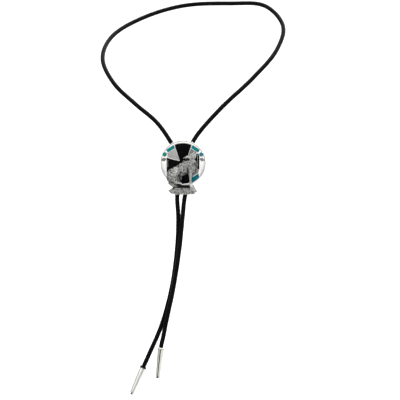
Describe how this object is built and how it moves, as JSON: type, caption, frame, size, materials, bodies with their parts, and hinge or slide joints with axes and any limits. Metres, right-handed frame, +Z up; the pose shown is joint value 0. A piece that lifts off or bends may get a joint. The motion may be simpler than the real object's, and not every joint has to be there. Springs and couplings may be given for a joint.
{
  "type": "bolo tie",
  "caption": "Braided black cord tie with a round inlaid silver slide, a cast howling wolf figure on it, and long tapered silver tips.",
  "frame": {"origin": "under the cord at the back of the neck, where it rests on the collar", "axes": "+Z up, the slide faces -Y and hangs straight in front of the origin in X"},
  "size_m": [0.1838, 0.1249, 0.3914],
  "materials": {
    "polished_silver": "polished silver plate",
    "antique_pewter": "cast pewter, darkened in the recesses and bright on the high points",
    "onyx": "polished black stone",
    "shell": "pale grey shell with a faint sheen",
    "turquoise": "polished turquoise with fine dark veins",
    "braided_leather": "round braided black cord with a slight gloss"
  },
  "bodies": {
    "root": {"slide_plate": "polished_silver", "slide_clip": "polished_silver", "tip_left": "polished_silver", "tip_right": "polished_silver", "wolf_figure": "antique_pewter", "onyx_field": "onyx", "shell_left": "shell", "shell_right": "shell", "shell_lower": "shell", "turquoise_bar_left": "turquoise", "turquoise_bar_right": "turquoise", "turquoise_lower": "turquoise", "turquoise_round_left": "turquoise", "turquoise_round_right": "turquoise", "cord": "braided_leather"}
  },
  "joints": []
}
